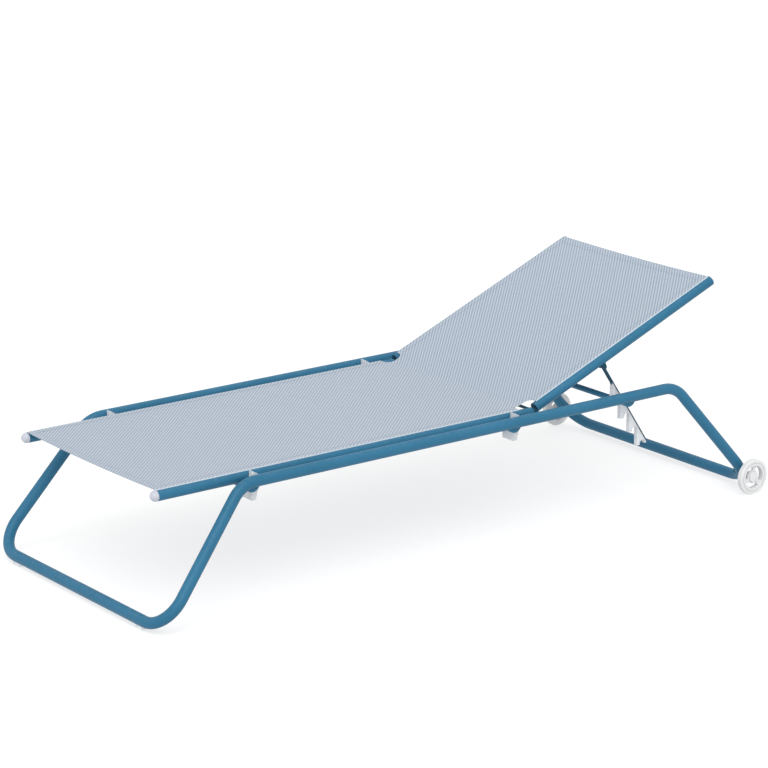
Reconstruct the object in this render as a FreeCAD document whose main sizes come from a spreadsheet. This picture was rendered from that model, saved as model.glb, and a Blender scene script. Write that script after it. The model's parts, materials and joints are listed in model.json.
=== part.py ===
import FreeCAD, Part
import math
import os
import re

# Reclining sun lounger: a bent tube frame with two wheels, a flat seat and a hinged backrest
# that share one stretched sling, and a prop with a notched rack that holds the backrest up.
# Millimetres. +X points to the head end, +Z up, the near side is -Y. The origin lies on the
# floor, in the middle of the plan.

V = FreeCAD.Vector
doc = FreeCAD.newDocument("SunLounger")
sheet = doc.addObject("Spreadsheet::Sheet", "Sizes")

SIZES = {
    # frame: two bent loops that meet in the side rails
    "span": 1968, "rail_od": 30, "rail_wall": 1.5, "rail_gap": 710, "rail_height": 336.6,
    "foot_rake": 262.3, "foot_splay": 45, "foot_clear": 7.5,
    "head_rake": 269.5, "head_splay": 31, "head_clear": 9.9,
    "corner_radius": 80, "rail_bend_radius": 85, "rail_split": 700,
    "joiner_length": 120, "joiner_wall": 2, "joiner_gap": 0.05,
    # cross tubes under the rails
    "cross_od": 16, "cross_wall": 1.5, "cope": 4.1, "cross_overhang": 1,
    "cross_foot": 294, "cross_mid_back": 105,
    "saddle_radius": 22, "saddle_drop": 8.2, "saddle_length": 17, "saddle_out": 2,
    # sling tubes of the seat and the backrest
    "sling_od": 28, "sling_wall": 1.5, "side_slot": 21.5, "seat_start": 45.5,
    "hinge_back": 732, "hinge_rise": 4.4, "back_lift": 4.43, "hinge_space": 6.5,
    "back_length": 681.4, "back_angle": 22.1,
    "slot_width": 2.4, "bead_od": 5, "bead_margin": 3,
    "cap_rim": 3, "plug_rim": 2, "cap_stem": 18, "plug_gap": 0.05,
    # sling
    "cloth": 1.2, "cloth_gap": 0.3, "cloth_foot": 1, "cloth_head": 6, "cloth_split": 9.5,
    "notch_seat": 47, "notch_back": 15, "notch_depth": 30, "cut_spare": 5,
    # hinge
    "hinge_rod_od": 8, "hinge_eye": 6, "tongue_thick": 8, "cheek_thick": 6, "cheek_gap": 0.3,
    "plug_length": 30, "running_fit": 0.05, "nut_od": 13, "nut_height": 5,
    # backrest spreaders and lugs of the prop
    "spreader_od": 16, "spreader_low": 97.4, "spreader_high": 632.4,
    "pivot_reach": 254.9, "lug_thick": 3, "lug_gap": 0.3, "lug_round": 7,
    # prop
    "prop_angle": 56, "prop_tail": 5, "prop_od": 10, "eye_od": 12, "eye_gap": 0.6,
    "eye_length": 12, "pivot_od": 8, "prop_tube_gap": 1, "clip_od": 13, "clip_thick": 1.2,
    "rack_thick": 12, "rack_pitch": 53, "rack_lead": 7, "notch_gap": 3, "rack_lip": 13,
    "crown_gap": 0.3,
    "rack_bare": 6.5, "rack_back": 7, "rack_past": 3, "rack_tail_drop": 35.8, "slot_past": 1,
    "rack_pin_od": 2.6, "rack_pin_drop": 3.3, "rack_pin_head_od": 5.6, "rack_pin_head": 0.8,
    # spacer blocks between the seat tubes and the rails
    "block_width": 45.5, "block_toe": 12, "block_heel": 17, "block_fin": 29,
    "block_drop": 55.6, "block_knee": 22, "fin_root": 2, "fin_step": 1.9, "fin_rise": 18.4,
    "fin_shift": 6, "fin_edge": 1, "block_gap": 1, "rail_clear": 0.5,
    "screw_od": 4, "screw_head_od": 8, "screw_head": 2.5, "screw_length": 22,
    # foot glides
    "glide_in": 107, "glide_length": 30, "glide_width": 18, "glide_wrap": 5.5,
    # wheels
    "wheel_od": 100, "wheel_width": 16, "wheel_out": 34.6, "axle_off": 7.2982, "axle_od": 10,
    "wheel_hub_od": 31, "wheel_rim": 17, "wheel_dish": 5, "wheel_round": 3, "hub_drop": 3.5,
    "window_inner": 19, "window_outer": 33, "window_angle": 92, "window_start": 93,
    "window_count": 3,
    "rim_groove": 1.8, "rim_groove_at": 39.2, "rim_groove_depth": 1.5,
    "boss_od": 20, "washer_od": 20, "washer_thick": 1.2, "washer_gap": 0.3, "axle_inside": 13,
    "hub_cap_od": 29, "hub_cap_height": 3, "retainer_od": 15, "retainer_thick": 1,
    "axle_proud": 0.5,
    "hub_pocket_od": 18, "hub_pocket": 5,
}

for row, (alias, number) in enumerate(SIZES.items(), start=1):
    sheet.set(f"A{row}", alias)
    sheet.set(f"B{row}", str(number))
    sheet.setAlias(f"B{row}", alias)
doc.recompute()

WORDS = re.compile(r"\b[a-z]+(?:_[a-z]+)*\b")


def bound(formula):
    """A formula in the sheet's own words, as FreeCAD reads it."""
    return WORDS.sub(lambda m: "Sizes." + m[0] if m[0] in SIZES else m[0], str(formula))


def size(alias):
    return float(sheet.get(alias))


def value(formula):
    """The number a formula gives for the sheet as it stands."""
    return float(sheet.evalExpression(bound(formula)))


# Places that several pieces share, each worked out once from the sheet.
FOOT_BAR_Z = "(foot_clear + rail_od/2)"
HEAD_BAR_Z = "(head_clear + rail_od/2)"
AXLE_AT = (f"(span - (wheel_od/2 - {HEAD_BAR_Z})*head_rake/(rail_height - {HEAD_BAR_Z})"
           " - axle_off)")
CENTRE = f"(({AXLE_AT} + wheel_od/2 - rail_od/2)/2)"
RAIL_Y = "(rail_gap/2)"
HINGE_AT = "(span - hinge_back)"
CROSS_MID = f"({HINGE_AT} - cross_mid_back)"
SLING_Y = "(rail_gap/2 - rail_od/2 - side_slot - sling_od/2)"
CROSS_Z = "(rail_height - rail_od/2 - cross_od/2 + cope)"
SLING_Z = f"({CROSS_Z} + cross_od/2 + sling_od/2 - cope)"
HINGE_X = f"({HINGE_AT} - {CENTRE})"
PIVOT_DROP = "(sling_od/2 + eye_od/2 + eye_gap)"
HINGE_Z = f"({SLING_Z} + hinge_rise)"
PIVOT_LOW = f"({PIVOT_DROP} - back_lift)"
PIVOT_X = f"({HINGE_X} + pivot_reach*cos(back_angle) + {PIVOT_LOW}*sin(back_angle))"
PIVOT_Z = f"({HINGE_Z} + pivot_reach*sin(back_angle) - {PIVOT_LOW}*cos(back_angle))"
ROD_OFF = "(cross_od/2 + prop_od/2 + prop_tube_gap)"
FIRST_NOTCH = f"(({PIVOT_Z} - {CROSS_Z} - {ROD_OFF}*cos(prop_angle))/sin(prop_angle))"
NOTCH_X = f"({FIRST_NOTCH}*cos(prop_angle) - {ROD_OFF}*sin(prop_angle))"
NOTCH_Z = f"({CROSS_Z} - {PIVOT_Z})"
CROSS_X = {"foot": f"(cross_foot - {CENTRE})", "mid": f"({CROSS_MID} - {CENTRE})",
           "head": f"({PIVOT_X} + {NOTCH_X})"}
AXLE_X = f"({AXLE_AT} - {CENTRE})"
WHEEL_Y = "(rail_gap/2 + head_splay + wheel_out)"
GLIDE_Y = "(rail_gap/2 + foot_splay - glide_in)"
NOTCH = "(cross_od + notch_gap)"
PROP_LENGTH = f"({FIRST_NOTCH} + 3*rack_pitch + rack_lead + prop_tail)"
SIDES = {"near": -1, "far": 1}
TURN = {"X": FreeCAD.Rotation(V(0, 1, 0), 90), "Y": FreeCAD.Rotation(V(1, 0, 0), -90),
        "Z": FreeCAD.Rotation()}
pieces = []


def move(obj, at, axis=None, angle=None):
    """Places an object; a turn about axis follows the sheet too."""
    if axis:
        obj.Placement = FreeCAD.Placement(V(0, 0, 0), FreeCAD.Rotation(V(*axis), 1))
        obj.setExpression("Placement.Rotation.Angle", bound(angle))
    for letter, formula in zip("xyz", at):
        obj.setExpression(f"Placement.Base.{letter}", bound(formula))
    return obj


def cylinder(name, radius, length, at, along="Y"):
    obj = doc.addObject("Part::Cylinder", name)
    obj.Placement.Rotation = TURN[along]
    obj.setExpression("Radius", bound(radius))
    obj.setExpression("Height", bound(length))
    return move(obj, at)


def box(name, sides, at):
    obj = doc.addObject("Part::Box", name)
    for prop, formula in zip(("Length", "Width", "Height"), sides):
        obj.setExpression(prop, bound(formula))
    return move(obj, at)


def ball(name, radius, at):
    obj = doc.addObject("Part::Sphere", name)
    obj.setExpression("Radius", bound(radius))
    return move(obj, at)


def fuse(name, parts):
    obj = doc.addObject("Part::MultiFuse", name)
    obj.Shapes = parts
    obj.Refine = True
    return obj


def cut(name, base, *tools):
    obj = doc.addObject("Part::Cut", name)
    obj.Base = base
    obj.Tool = tools[0] if len(tools) == 1 else fuse(name + "_tools", list(tools))
    obj.Refine = True
    return obj


def common(name, base, tool):
    obj = doc.addObject("Part::Common", name)
    obj.Base = base
    obj.Tool = tool
    obj.Refine = True
    return obj


def group(name, parts):
    obj = doc.addObject("Part::Compound", name)
    obj.Links = parts
    return obj


def piece(obj, label, frame=None):
    """Marks a finished sub-part; frame turns one drawn along its own tube into its place."""
    if frame == "back":
        move(obj, (HINGE_X, 0, HINGE_Z), (0, -1, 0), "back_angle")
    if frame == "rod":
        move(obj, (PIVOT_X, 0, PIVOT_Z), (0, 1, 0), "prop_angle")
    if frame == "pivot":
        move(obj, (PIVOT_X, 0, PIVOT_Z))
    obj.Label = label
    pieces.append(obj)
    return obj


def tube(name, outer, wall, length, at, along="Y"):
    skin = cylinder(name + "_skin", f"({outer})/2", length, at, along)
    bore = cylinder(name + "_bore", f"({outer})/2 - ({wall})", length, at, along)
    return cut(name, skin, bore)


def rounded_ends(name, base, radius):
    """A cylinder with both its rims rounded."""
    doc.recompute()
    obj = doc.addObject("Part::Fillet", name)
    obj.Base = base
    obj.Edges = [(number, size(radius), size(radius))
                 for number, edge in enumerate(base.Shape.Edges, start=1)
                 if isinstance(edge.Curve, Part.Circle)]
    return obj


# --- bent loops -------------------------------------------------------------------------------

def rounded_path(points, radii):
    """Straight runs joined by tangent arcs; radii are those of the inner points."""
    edges = []
    start = points[0]
    for before, corner, after, radius in zip(points, points[1:], points[2:], radii):
        into = (corner - before).normalize()
        out = (after - corner).normalize()
        turn = into.getAngle(out)
        reach = radius * math.tan(turn / 2)
        first = corner - into * reach
        last = corner + out * reach
        inward = (out - into).normalize()
        middle = corner + inward * (radius / math.cos(turn / 2) - radius)
        edges.append(Part.LineSegment(start, first).toShape())
        edges.append(Part.Arc(first, middle, last).toShape())
        start = last
    edges.append(Part.LineSegment(start, points[-1]).toShape())
    return Part.Wire(edges)


def pipe(path, radius):
    begin = path.OrderedVertexes[0].Point
    aim = path.OrderedEdges[0].tangentAt(path.OrderedEdges[0].FirstParameter)
    ring = Part.Wire(Part.makeCircle(radius, begin, aim))
    solid = Part.Solid(path.makePipeShell([ring], True, False))
    ideal = math.pi * radius ** 2 * path.Length
    if abs(solid.Volume / ideal - 1) > 0.01:
        raise RuntimeError(f"bent tube has {solid.Volume:.0f} mm3 for {ideal:.0f}")
    return solid


def loop_path(bar_x, vertex_x, splay, bar_height):
    """From the rails' split round one end's legs and floor bar, and back to the split."""
    centre = value(CENTRE)
    rail_y = size("rail_gap") / 2
    rail_z = size("rail_height")
    half = [V(size("rail_split") - centre, -rail_y, rail_z), V(vertex_x - centre, -rail_y, rail_z),
            V(bar_x - centre, -rail_y - splay, bar_height)]
    mirrored = [V(p.x, -p.y, p.z) for p in reversed(half)]
    bend, corner = size("rail_bend_radius"), size("corner_radius")
    return rounded_path(half + mirrored, [bend, corner, corner, bend])


def bent_loop(name, path):
    solid = doc.addObject("Part::Feature", name)
    skin = pipe(path, size("rail_od") / 2)
    solid.Shape = skin.cut(pipe(path, size("rail_od") / 2 - size("rail_wall")))
    solid.Placement = FreeCAD.Placement()
    outline = doc.addObject("Part::Feature", name + "_outline")
    outline.Shape = skin
    outline.Placement = FreeCAD.Placement()
    return solid, outline


foot_loop, foot_outline = bent_loop(
    "foot_loop", loop_path(0, size("foot_rake"), size("foot_splay"), value(FOOT_BAR_Z)))
head_loop, head_outline = bent_loop(
    "head_loop", loop_path(size("span"), size("span") - size("head_rake"), size("head_splay"),
                           value(HEAD_BAR_Z)))

piece(foot_loop, "foot_leg_loop")

AXLE_IN = f"({RAIL_Y} - rail_od/2 + axle_inside)"
HUB_OUT = f"({WHEEL_Y} + wheel_width/2 - hub_drop)"
AXLE_OUT = f"({HUB_OUT} - hub_pocket + washer_gap + retainer_thick + axle_proud)"


def outward(name, radius, low, high, x, z, side):
    """A cylinder along Y from low to high, measured outward from the middle plane."""
    start = f"({low})" if side > 0 else f"-({high})"
    return cylinder(name, radius, f"({high}) - ({low})", (x, start, z))


axle_holes = [outward(f"axle_hole_{side}", "axle_od/2", AXLE_IN, AXLE_OUT, AXLE_X,
                      "wheel_od/2", sign) for side, sign in SIDES.items()]
piece(cut("head_loop_drilled", head_loop, *axle_holes), "head_leg_loop")

joiners = []
for side, sign in SIDES.items():
    joiners.append(tube(f"joiner_{side}", "rail_od - 2*rail_wall - 2*joiner_gap", "joiner_wall",
                        "joiner_length", (f"rail_split - joiner_length/2 - {CENTRE}",
                                          f"{sign}*{RAIL_Y}", "rail_height"), "X"))
piece(group("joiners", joiners), "rail_joiners")

# --- cross tubes and their saddles ------------------------------------------------------------

OUTLINES = {"foot": foot_outline, "mid": head_outline, "head": head_outline}
seat_skins = []
for side, sign in SIDES.items():
    seat_skins.append(cylinder(f"seat_skin_{side}", "sling_od/2", f"{HINGE_AT} - seat_start",
                               (f"seat_start - {CENTRE}", f"{sign}*{SLING_Y}", SLING_Z), "X"))

for place, x in CROSS_X.items():
    half = f"({RAIL_Y} + cross_overhang)"
    blank = tube(f"cross_{place}_blank", "cross_od", "cross_wall", f"2*{half}",
                 (x, f"-{half}", CROSS_Z))
    skins = [] if place == "head" else seat_skins
    piece(cut(f"cross_{place}", blank, OUTLINES[place], *skins), f"cross_tube_{place}")

saddles = []
for place, x in CROSS_X.items():
    for side, sign in SIDES.items():
        name = f"saddle_{place}_{side}"
        outer = f"({RAIL_Y} + saddle_out)"
        inner = f"({outer} - saddle_length)"
        disc = outward(name + "_disc", "saddle_radius", inner, outer, x,
                       f"{CROSS_Z} - cross_od/2 + saddle_radius", sign)
        keep = box(name + "_keep", ("2*saddle_radius", "2*saddle_length", "saddle_radius"),
                   (f"{x} - saddle_radius", f"{sign}*{RAIL_Y} - saddle_length",
                    "rail_height - saddle_drop - saddle_radius"))
        lower = common(name + "_lower", disc, keep)
        hole = outward(name + "_hole", "cross_od/2", f"{inner} - saddle_out",
                       f"{RAIL_Y} + cross_overhang", x, CROSS_Z, sign)
        saddles.append(cut(name, lower, hole, OUTLINES[place]))
piece(group("saddles", saddles), "rail_saddles")

# --- sling tubes, their caps and beads --------------------------------------------------------

def slotted_tube(name, start, length, y, z):
    """A sling tube with the slot along its top that the cloth's edge goes into."""
    whole = tube(name + "_round", "sling_od", "sling_wall", length, (start, y, z), "X")
    slot = box(name + "_slot", (length, "slot_width", "sling_od/2"),
               (start, f"{y} - slot_width/2", z))
    return cut(name, whole, slot)


def bead(name, start, length, y, z):
    """The round cord in the cloth's hem, held inside the tube under its slot."""
    return cylinder(name, "bead_od/2", length,
                    (start, y, f"{z} + sling_od/2 - sling_wall - bead_od/2 - running_fit"), "X")


SEAT_LENGTH = f"({HINGE_AT} - hinge_space - seat_start)"
BACK_LENGTH = "(back_length - hinge_space)"
seat_beads = []
back_beads = []
for side, sign in SIDES.items():
    y = f"{sign}*{SLING_Y}"
    piece(slotted_tube(f"seat_{side}", f"seat_start - {CENTRE}", SEAT_LENGTH, y, SLING_Z),
          f"seat_rail_{side}")
    piece(slotted_tube(f"back_{side}", "hinge_space", BACK_LENGTH, y, "back_lift"),
          f"back_rail_{side}", "back")
    seat_beads.append(bead(f"seat_bead_{side}", f"seat_start + cap_stem + bead_margin - {CENTRE}",
                           f"{SEAT_LENGTH} - cap_stem - plug_length - 2*bead_margin", y, SLING_Z))
    back_beads.append(bead(f"back_bead_{side}", "hinge_space + plug_length + bead_margin",
                           f"{BACK_LENGTH} - cap_stem - plug_length - 2*bead_margin", y,
                           "back_lift"))
piece(group("seat_beads", seat_beads), "seat_hem_beads")
piece(group("back_beads", back_beads), "back_hem_beads", "back")


def round_cap(name, x, y, z):
    """A domed end cap for the foot, with a short rim and a stem in the tube."""
    rim = cylinder(name + "_rim", "sling_od/2", "cap_rim", (f"{x} - cap_rim", y, z), "X")
    dome = ball(name + "_dome", "sling_od/2", (f"{x} - cap_rim", y, z))
    front = box(name + "_front", ("sling_od", "sling_od", "sling_od"),
                (f"{x} - cap_rim - sling_od", f"{y} - sling_od/2", f"{z} - sling_od/2"))
    stem = cylinder(name + "_stem", "sling_od/2 - sling_wall - plug_gap", "cap_stem",
                    (x, y, z), "X")
    return fuse(name, [rim, common(name + "_half", dome, front), stem])


foot_caps = [round_cap(f"foot_cap_{side}", f"(seat_start - {CENTRE})", f"{sign}*{SLING_Y}",
                       SLING_Z) for side, sign in SIDES.items()]
head_caps = []
for side, sign in SIDES.items():
    y = f"{sign}*{SLING_Y}"
    flange = cylinder(f"head_cap_{side}_flange", "sling_od/2", "plug_rim",
                      ("back_length", y, "back_lift"), "X")
    stem = cylinder(f"head_cap_{side}_stem", "sling_od/2 - sling_wall - plug_gap", "cap_stem",
                    ("back_length - cap_stem", y, "back_lift"), "X")
    head_caps.append(fuse(f"head_cap_{side}", [flange, stem]))
piece(group("foot_caps", foot_caps), "foot_end_caps")
piece(group("head_caps", head_caps), "head_end_caps", "back")

# --- sling ------------------------------------------------------------------------------------

def cloth_panel(name, start, length, z, notch_start, notch_length):
    """A flat panel over both tubes, with a notch at each side of the hinge."""
    panel = box(name + "_panel", (length, f"2*{SLING_Y}", "cloth"),
                (start, f"-{SLING_Y}", f"{z} + sling_od/2 + cloth_gap"))
    notches = [box(f"{name}_notch_{side}", (notch_length, "notch_depth + 2*cut_spare",
                                                "cloth + 2*cut_spare"),
                   (notch_start, f"{sign}*({SLING_Y} - notch_depth/2 + cut_spare)"
                    " - notch_depth/2 - cut_spare", f"{z} + sling_od/2 - cut_spare"))
               for side, sign in SIDES.items()]
    return cut(name, panel, *notches)


piece(cloth_panel("seat_cloth", f"seat_start + cloth_foot - {CENTRE}",
                  f"{HINGE_AT} - cloth_split - seat_start - cloth_foot", SLING_Z,
                  f"{HINGE_X} - notch_seat", "notch_seat + cut_spare"), "seat_sling")
piece(cloth_panel("back_cloth", "cloth_split", "back_length - cloth_head - cloth_split",
                  "back_lift",
                  "cloth_split - cut_spare", "notch_back - cloth_split + cut_spare"),
      "back_sling", "back")

# --- hinge ------------------------------------------------------------------------------------

CHEEK_IN = "(tongue_thick/2 + cheek_gap)"
CHEEK_OUT = f"({CHEEK_IN} + cheek_thick)"
PLUG_R = "(sling_od/2 - sling_wall - plug_gap)"
for side, sign in SIDES.items():
    y = f"({sign}*{SLING_Y})"
    stem = cylinder(f"fork_stem_{side}", PLUG_R, "plug_length",
                    (f"{HINGE_X} - hinge_space - plug_length", y, SLING_Z), "X")
    arms = []
    for hand in (-1, 1):
        low = CHEEK_IN if hand > 0 else f"-{CHEEK_OUT}"
        arms.append(box(f"fork_arm_{side}_{hand + 1}", ("hinge_space", "cheek_thick",
                                                        "2*hinge_eye"),
                        (f"{HINGE_X} - hinge_space", f"{y} + {low}",
                         f"{HINGE_Z} - hinge_eye")))
        arms.append(cylinder(f"fork_eye_{side}_{hand + 1}", "hinge_eye", "cheek_thick",
                             (HINGE_X, f"{y} + {low}", HINGE_Z)))
    bore = cylinder(f"fork_bore_{side}", "hinge_rod_od/2", "4*cheek_thick + tongue_thick",
                    (HINGE_X, f"{y} - 2*cheek_thick - tongue_thick/2", HINGE_Z))
    piece(cut(f"fork_{side}", fuse(f"fork_solid_{side}", [stem] + arms), bore),
          f"hinge_fork_{side}")

    stem = cylinder(f"tongue_stem_{side}", PLUG_R, "plug_length",
                    ("hinge_space", y, "back_lift"), "X")
    arm = box(f"tongue_arm_{side}", ("hinge_space", "tongue_thick", "2*hinge_eye"),
              (0, f"{y} - tongue_thick/2", "-hinge_eye"))
    eye = cylinder(f"tongue_eye_{side}", "hinge_eye", "tongue_thick",
                   (0, f"{y} - tongue_thick/2", 0))
    bore = cylinder(f"tongue_bore_{side}", "hinge_rod_od/2 + running_fit", "2*tongue_thick",
                    (0, f"{y} - tongue_thick", 0))
    piece(cut(f"tongue_{side}", fuse(f"tongue_solid_{side}", [stem, arm, eye]), bore),
          f"hinge_tongue_{side}", "back")

ROD_REACH = f"({SLING_Y} + {CHEEK_OUT} + nut_height/2)"
piece(cylinder("hinge_rod", "hinge_rod_od/2", f"2*{ROD_REACH}",
               (HINGE_X, f"-{ROD_REACH}", HINGE_Z)), "hinge_rod")
nuts = []
for side, sign in SIDES.items():
    seat = f"{SLING_Y} + {CHEEK_OUT}"
    body = outward(f"nut_{side}", "nut_od/2", seat, f"{seat} + nut_height", HINGE_X, HINGE_Z, sign)
    hole = outward(f"nut_hole_{side}", "hinge_rod_od/2", seat, f"{seat} + nut_height/2", HINGE_X,
                   HINGE_Z, sign)
    nuts.append(cut(f"hinge_nut_{side}", body, hole))
piece(group("hinge_nuts_all", nuts), "hinge_nuts")

# --- backrest: spreaders and prop lugs --------------------------------------------------------

back_skins = [cylinder(f"back_skin_{side}", "sling_od/2", BACK_LENGTH,
                       ("hinge_space", f"{sign}*{SLING_Y}", "back_lift"), "X")
              for side, sign in SIDES.items()]
for place in ("low", "high"):
    blank = tube(f"spreader_{place}_blank", "spreader_od", "cross_wall", f"2*{SLING_Y}",
                 (f"spreader_{place}", f"-{SLING_Y}", "back_lift"))
    piece(cut(f"spreader_{place}_tube", blank, *back_skins), f"back_spreader_{place}", "back")

LUG_IN = "(eye_length/2 + lug_gap)"
lugs = []
for side, sign in SIDES.items():
    for hand in (-1, 1):
        name = f"lug_{side}_{hand + 1}"
        low = LUG_IN if hand > 0 else f"-({LUG_IN} + lug_thick)"
        y = f"{sign}*{SLING_Y} + {low}"
        plate = box(name + "_plate", ("2*lug_round", "lug_thick", PIVOT_DROP),
                    ("pivot_reach - lug_round", y, f"-{PIVOT_LOW}"))
        end = cylinder(name + "_end", "lug_round", "lug_thick", ("pivot_reach", y,
                                                                  f"-{PIVOT_LOW}"))
        hole = cylinder(name + "_hole", "pivot_od/2 + running_fit", "3*lug_thick",
                        ("pivot_reach", f"{y} - lug_thick", f"-{PIVOT_LOW}"))
        lugs.append(cut(name, fuse(name + "_solid", [plate, end]), hole, *back_skins))
piece(group("lugs", lugs), "prop_lugs", "back")

# --- prop: pivot rod, two legs and their racks ------------------------------------------------

PIVOT_REACH = f"({SLING_Y} + {LUG_IN} + lug_thick + lug_gap + 2*clip_thick)"
piece(cylinder("pivot_rod", "pivot_od/2", f"2*{PIVOT_REACH}", (0, f"-{PIVOT_REACH}", 0)),
      "prop_pivot_rod")
move(doc.pivot_rod, (PIVOT_X, f"-{PIVOT_REACH}", PIVOT_Z))
clips = []
for side, sign in SIDES.items():
    inner = f"({SLING_Y} + {LUG_IN} + lug_thick + lug_gap)"
    disc = outward(f"clip_disc_{side}", "clip_od/2", inner, f"{inner} + clip_thick", "0", "0", sign)
    hole = outward(f"clip_hole_{side}", "pivot_od/2", f"{inner} - clip_thick",
                   f"{inner} + 2*clip_thick", "0", "0", sign)
    clips.append(cut(f"clip_{side}", disc, hole))
piece(group("clips", clips), "pivot_clips", "pivot")

STEP_X = "(rack_pitch*cos(prop_angle))"
RACK_COVER = "(prop_od/2 - rack_bare)"
PIN_AT = (f"({FIRST_NOTCH} + rack_pitch/2)", f"({FIRST_NOTCH} + 5*rack_pitch/2 + rack_lead)")
rack_pins = []
for side, sign in SIDES.items():
    y = f"({sign}*{SLING_Y})"
    rod = cylinder(f"leg_rod_{side}", "prop_od/2", PROP_LENGTH, (0, y, 0), "X")
    eye = cylinder(f"leg_eye_{side}", "eye_od/2", "eye_length", (0, f"{y} - eye_length/2", 0))
    bore = cylinder(f"leg_bore_{side}", "pivot_od/2", "2*eye_length",
                    (0, f"{y} - eye_length", 0))
    pin_holes = [cylinder(f"leg_pin_{side}_{i}", "rack_pin_od/2", "prop_od",
                          (at, f"{y} - prop_od/2", "-rack_pin_drop"))
                 for i, at in enumerate(PIN_AT)]
    piece(cut(f"leg_{side}", fuse(f"leg_solid_{side}", [rod, eye]), bore, *pin_holes),
          f"prop_leg_{side}", "rod")

    # The rack hangs below its rod: one column to each notch, in steps down the rod.
    columns = []
    slots = []
    before = f"({NOTCH_X} - {STEP_X})"
    for k in range(4):
        along = f"({k}*rack_pitch + rack_lead)" if k else "0"
        x = f"({NOTCH_X} + {along}*cos(prop_angle))"
        crown = f"({NOTCH_Z} + cross_od/2 + crown_gap - {along}*sin(prop_angle))"
        tip = f"({crown} - rack_lip)"
        columns.append(box(f"rack_column_{side}_{k}", (f"{x} - {before}", "rack_thick",
                                                       "3*rack_pitch"),
                           (f"{before} + {NOTCH}/2", f"{y} - rack_thick/2", tip)))
        slots.append(box(f"rack_slot_{side}_{k}",
                         (NOTCH, "2*rack_thick", f"rack_lip - {NOTCH}/2 + slot_past"),
                         (f"{x} - {NOTCH}/2", f"{y} - rack_thick", f"{tip} - slot_past")))
        slots.append(cylinder(f"rack_crown_{side}_{k}", f"{NOTCH}/2", "2*rack_thick",
                              (x, f"{y} - rack_thick", f"{crown} - {NOTCH}/2")))
        before = x
    strip = box(f"rack_strip_{side}", (f"{PROP_LENGTH} + rack_past", "rack_thick",
                                       f"rack_back + {RACK_COVER}"), (0, 0, 0))
    move(strip, ("-rack_back*sin(prop_angle)", f"{y} - rack_thick/2",
                 "-rack_back*cos(prop_angle)"), (0, 1, 0), "prop_angle")
    deep = PROP_LENGTH
    under = box(f"rack_under_{side}", (f"{PROP_LENGTH} + rack_past", "rack_thick", deep),
                (0, 0, 0))
    move(under, (f"({RACK_COVER} - {deep})*sin(prop_angle)", f"{y} - rack_thick/2",
                 f"({RACK_COVER} - {deep})*cos(prop_angle)"), (0, 1, 0), "prop_angle")
    stairs = common(f"rack_stairs_{side}", fuse(f"rack_columns_{side}", columns), under)
    lower = box(f"rack_lower_{side}", (f"2*{PROP_LENGTH}", "rack_thick", deep),
                (f"{NOTCH_X} + {NOTCH}/2", f"{y} - rack_thick/2",
                 f"{NOTCH_Z} - rack_tail_drop - {deep}"))
    tail = common(f"rack_tail_{side}", strip, lower)
    bore = group(f"rack_bore_{side}", [cylinder(f"rack_rod_{side}", "prop_od/2", PROP_LENGTH,
                                                (0, y, 0), "X")])
    move(bore, (0, 0, 0), (0, 1, 0), "prop_angle")
    pin_bores = [cylinder(f"rack_pin_bore_{side}_{i}", "rack_pin_od/2", "2*rack_thick",
                          (f"{at}*cos(prop_angle) - rack_pin_drop*sin(prop_angle)",
                           f"{y} - rack_thick",
                           f"-{at}*sin(prop_angle) - rack_pin_drop*cos(prop_angle)"))
                 for i, at in enumerate(PIN_AT)]
    solid = fuse(f"rack_solid_{side}", [stairs, tail])
    piece(cut(f"rack_all_{side}", solid, bore, *slots, *pin_bores), f"prop_rack_{side}",
          "pivot")
    for i, at in enumerate(PIN_AT):
        shank = cylinder(f"rack_pin_{side}_{i}", "rack_pin_od/2", "rack_thick",
                         (at, f"{y} - rack_thick/2", "-rack_pin_drop"))
        heads = [cylinder(f"rack_head_{side}_{i}_{hand}", "rack_pin_head_od/2", "rack_pin_head",
                          (at, f"{y} + {low}", "-rack_pin_drop"))
                 for hand, low in enumerate(("rack_thick/2", "(-rack_thick/2 - rack_pin_head)"))]
        rack_pins.append(fuse(f"rack_pin_whole_{side}_{i}", [shank] + heads))
piece(group("rack_pins_all", rack_pins), "rack_pins", "rod")

# --- spacer blocks ----------------------------------------------------------------------------

def wedge(name, low, high, y, width, zmin, zmax):
    """A block between two XZ edges: low and high are (x start, x end) at zmin and zmax."""
    obj = doc.addObject("Part::Wedge", name)
    for prop, formula in (("Xmin", low[0]), ("Xmax", low[1]), ("X2min", high[0]),
                          ("X2max", high[1]), ("Ymin", zmin), ("Ymax", zmax), ("Zmin", "0"),
                          ("Zmax", width), ("Z2min", "0"), ("Z2max", width)):
        obj.setExpression(prop, bound(formula))
    obj.Placement.Rotation = FreeCAD.Rotation(V(1, 0, 0), 90)
    return move(obj, (0, f"{y} + ({width})", 0))


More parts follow.
